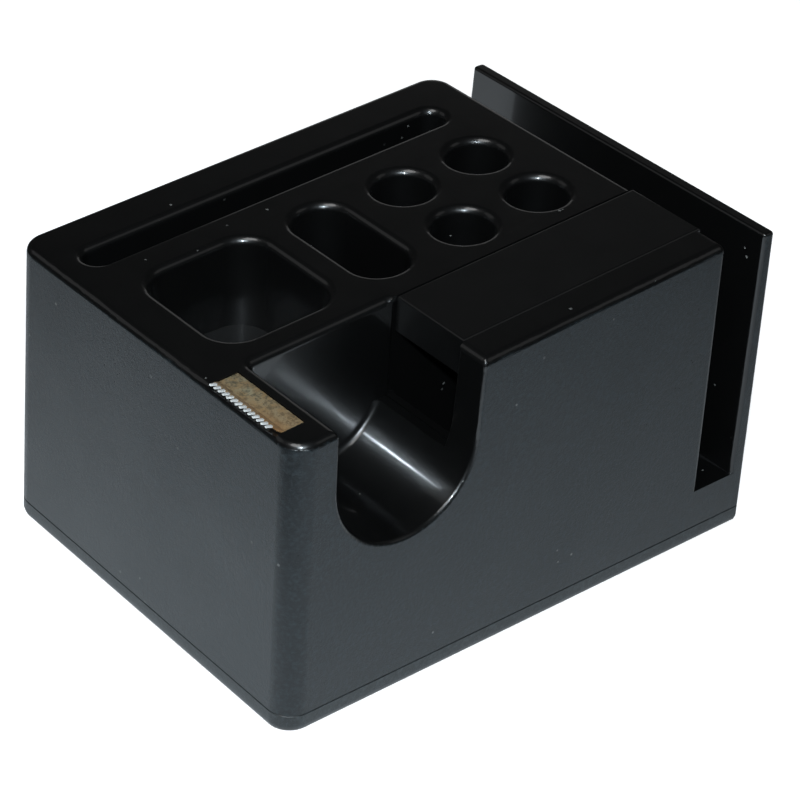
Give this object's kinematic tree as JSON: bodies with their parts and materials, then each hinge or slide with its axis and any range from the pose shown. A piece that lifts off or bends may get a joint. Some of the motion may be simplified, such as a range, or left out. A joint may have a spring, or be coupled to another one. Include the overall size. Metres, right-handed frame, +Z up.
{
  "type": "desk organizer with tape dispenser and drawer",
  "caption": "Moulded desk organizer with pockets, pen holes, a finger scoop, a lidded tape well with a cutter blade, a letter slot behind the box and a small side drawer",
  "frame": {"origin": "on the desk plane, under the middle of the object's outline", "axes": "+X is the right-hand side with the finger scoop, +Y is the back with the letter slot, +Z is up; tape is pulled towards -Y"},
  "size_m": [0.1074, 0.1424, 0.0842],
  "materials": {
    "case_plastic": "black moulded plastic, fine satin texture outside, smooth and glossy in the pockets",
    "base_plastic": "black moulded plastic, satin",
    "drawer_plastic": "black moulded plastic, satin front, smooth inside",
    "guide_plastic": "black moulded plastic, smooth",
    "lid_plastic": "black moulded plastic, fine satin texture",
    "core_plastic": "black moulded plastic, smooth",
    "axle_steel": "drawn steel rod",
    "pin_steel": "drawn steel pin",
    "blade_steel": "stamped sheet steel with a worn, slightly coloured surface",
    "screw_steel": "zinc-plated steel",
    "ballast_iron": "raw cast iron",
    "foot_rubber": "soft black rubber"
  },
  "bodies": {
    "case": {"housing": "case_plastic", "base_plate": "base_plastic", "case_screws": "screw_steel", "foot_front_left": "foot_rubber", "foot_front_right": "foot_rubber", "foot_rear_left": "foot_rubber", "foot_rear_right": "foot_rubber", "ballast_weight": "ballast_iron", "ballast_screws": "screw_steel", "drawer_guide_front": "guide_plastic", "drawer_guide_rear": "guide_plastic", "guide_screws": "screw_steel", "cutter_blade": "blade_steel"},
    "drawer": {"drawer": "drawer_plastic"},
    "lid": {"tape_lid": "lid_plastic", "lid_pin_left": "pin_steel", "lid_pin_right": "pin_steel"},
    "axle": {"tape_axle": "axle_steel"},
    "core": {"tape_hub_left": "core_plastic", "tape_hub_right": "core_plastic"}
  },
  "joints": [
    {"name": "drawer_slide", "type": "slide", "parent": "case", "child": "drawer", "axis": [-1, 0, 0], "range_m": [0, 0.0463]},
    {"name": "lid_hinge", "type": "hinge", "parent": "case", "child": "lid", "pos_m": [0.0317, 0.0504, 0.0797], "axis": [-1, 0, 0], "range_deg": [0, 100]},
    {"name": "axle_lift", "type": "slide", "parent": "case", "child": "axle", "axis": [0, 0, 1], "range_m": [0, 0.02]},
    {"name": "core_spin", "type": "hinge", "parent": "axle", "child": "core", "pos_m": [0.0317, 0.01675, 0.043], "axis": [1, 0, 0], "continuous": true}
  ]
}
